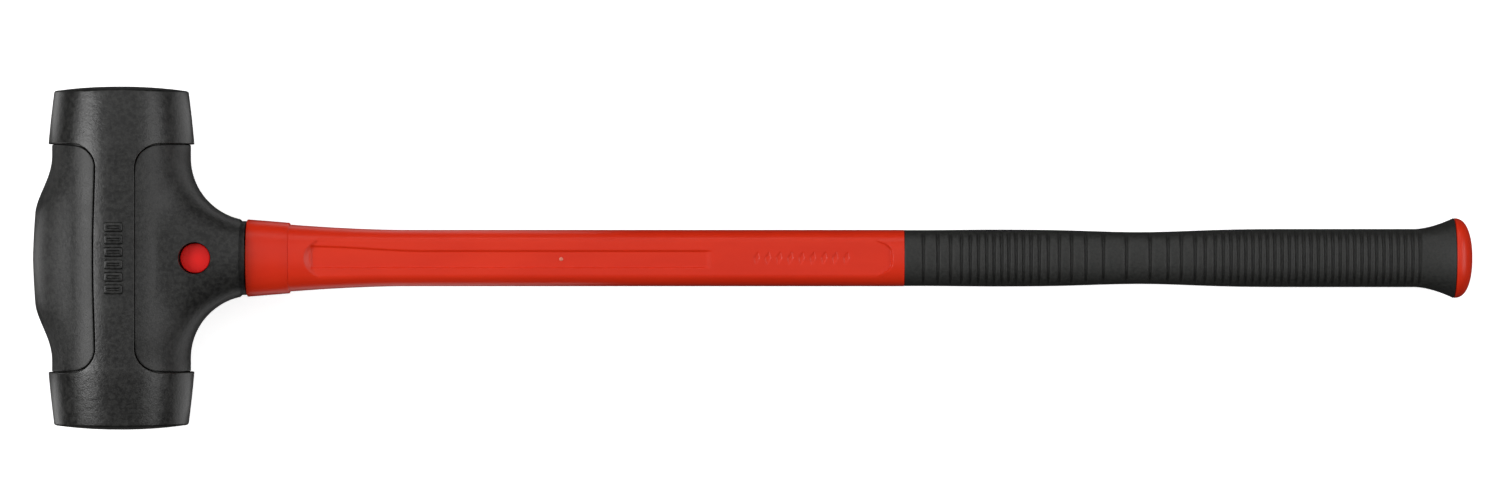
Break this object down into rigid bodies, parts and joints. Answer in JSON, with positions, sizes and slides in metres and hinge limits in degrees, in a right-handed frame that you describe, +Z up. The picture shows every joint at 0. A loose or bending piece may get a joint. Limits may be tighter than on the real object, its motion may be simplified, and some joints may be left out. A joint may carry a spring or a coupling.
{
  "type": "dead-blow sledgehammer",
  "caption": "Long-handled dead-blow sledgehammer: black polyurethane head with loose shot inside, red shaft, black ribbed two-handed grip and a flared pommel with a red cap.",
  "frame": {"origin": "the middle of the bounding box, on the level surface that the hammer lies on", "axes": "+X from the head along the handle to the pommel, +Y along the head from one striking face to the other, +Z up, through the flat sides of the handle"},
  "size_m": [0.8993, 0.214, 0.0906],
  "materials": {
    "head_jacket": "satin moulded polyurethane",
    "grip_rubber": "matte rubber",
    "red_plastic": "satin moulded plastic",
    "plug_plastic": "smooth plastic",
    "plain_steel": "as rolled",
    "steel_shot": "loose shot",
    "glass_fibre": "pultruded",
    "casting_resin": "cast"
  },
  "bodies": {
    "hammer": {"wear_shell": "head_jacket", "head_body": "head_jacket", "canister_tube": "plain_steel", "end_plug_a": "plain_steel", "end_plug_b": "plain_steel", "eye_tube": "plain_steel", "resin_plug": "casting_resin", "handle_core": "glass_fibre", "shaft": "red_plastic", "shaft_collar": "red_plastic", "cross_pin": "plain_steel", "pin_plug_front": "plug_plastic", "pin_plug_back": "plug_plastic", "grip_sleeve": "grip_rubber", "pommel_cap": "red_plastic"},
    "shot_a": {"shot_charge_a": "steel_shot"},
    "shot_b": {"shot_charge_b": "steel_shot"}
  },
  "joints": [
    {"name": "shot_a_slide", "type": "slide", "parent": "hammer", "child": "shot_a", "axis": [0, 1, 0], "range_m": [-0.0055, 0.0055]},
    {"name": "shot_b_slide", "type": "slide", "parent": "hammer", "child": "shot_b", "axis": [0, 1, 0], "range_m": [-0.0055, 0.0055]}
  ]
}
